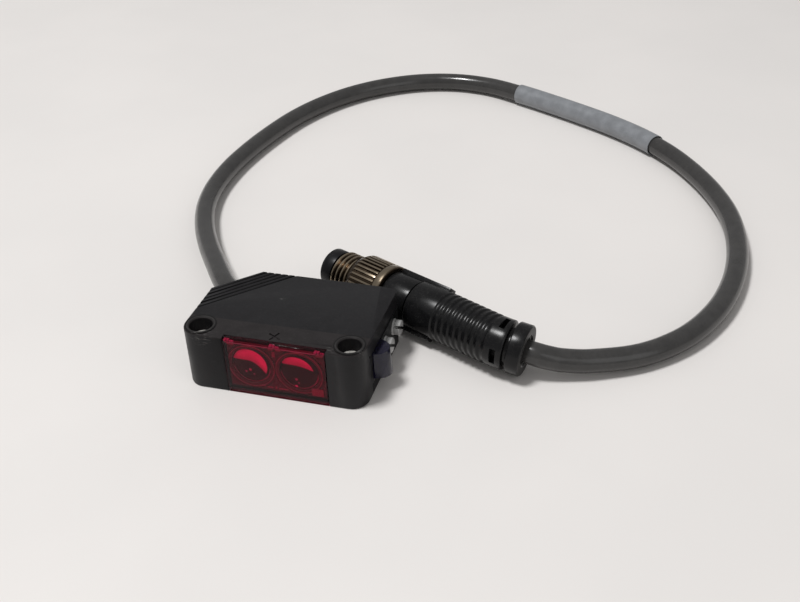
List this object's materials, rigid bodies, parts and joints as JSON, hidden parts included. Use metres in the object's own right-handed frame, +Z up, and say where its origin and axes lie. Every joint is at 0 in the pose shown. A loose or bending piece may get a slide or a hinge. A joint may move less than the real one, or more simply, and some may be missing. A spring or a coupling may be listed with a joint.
{
  "type": "photoelectric sensor",
  "caption": "Compact square photoelectric sensor with a tinted lens window, an indicator dome, adjuster knobs and a grey pigtail cable that ends in a knurled round plug.",
  "frame": {"origin": "midway between the two mounting holes' axes, on the lower side face that lies on the table", "axes": "+X along the case toward the indicator end, +Y from the lens face to the back, +Z up through the case's thickness"},
  "size_m": [0.1122, 0.1288, 0.0108],
  "materials": {
    "case": "moulded, fine matte",
    "window": "clear red, polished",
    "inner_plastic": "dark, matte",
    "lens": "clear, polished",
    "polariser": "grey film",
    "diode_clear": "clear resin",
    "diode_dark": "dark resin",
    "shield_sheet": "tinned sheet",
    "board": "green solder mask",
    "dome": "smoky violet, polished",
    "lamp_orange": "tinted resin",
    "lamp_green": "tinted resin",
    "panel": "moulded, satin",
    "knob": "light grey, moulded",
    "trimmer": "blue, moulded",
    "switch": "black, moulded",
    "seal": "soft rubber",
    "insert": "bright plated",
    "gland": "moulded, satin",
    "cable_sheath": "grey vinyl, satin",
    "marker_sleeve": "pale film, satin",
    "grip": "black moulding, satin",
    "nut": "nickel plated, bright",
    "carrier": "black moulding",
    "contact": "gold plated"
  },
  "bodies": {
    "sensor": {"case": "case", "front_window": "window", "lens_frame": "inner_plastic", "receiver_lens": "lens", "emitter_lens": "lens", "receiver_polariser": "polariser", "emitter_polariser": "polariser", "light_baffle": "inner_plastic", "emitter_diode": "diode_clear", "receiver_diode": "diode_dark", "receiver_shield": "shield_sheet", "main_board": "board", "adjuster_board": "board", "indicator_window": "dome", "operation_indicator": "lamp_orange", "stability_indicator": "lamp_green", "adjuster_panel": "panel", "trimmer_body": "trimmer", "switch_body": "switch", "sensitivity_seal": "seal", "selector_seal": "seal", "left_insert": "insert", "right_insert": "insert", "cable_gland": "gland", "cable": "cable_sheath", "cable_marker": "marker_sleeve", "plug_grip": "grip", "contact_carrier": "carrier", "contact_pin_1": "contact", "contact_pin_2": "contact", "contact_pin_3": "contact", "contact_pin_4": "contact"},
    "sensitivity_knob": {"sensitivity_adjuster": "knob"},
    "selector_knob": {"mode_selector": "knob"},
    "nut": {"coupling_nut": "nut"}
  },
  "joints": [
    {"name": "sensitivity_turn", "type": "hinge", "parent": "sensor", "child": "sensitivity_knob", "pos_m": [0.0155, 0.0085, 0.0053], "axis": [1, 0, 0], "range_deg": [-120, 120]},
    {"name": "selector_turn", "type": "hinge", "parent": "sensor", "child": "selector_knob", "pos_m": [0.0155, 0.01365, 0.0053], "axis": [1, 0, 0], "range_deg": [0, 90]},
    {"name": "nut_turn", "type": "hinge", "parent": "sensor", "child": "nut", "pos_m": [0.018, 0.02118, 0.00497], "axis": [0.9059, -0.4234, 0], "continuous": true}
  ]
}
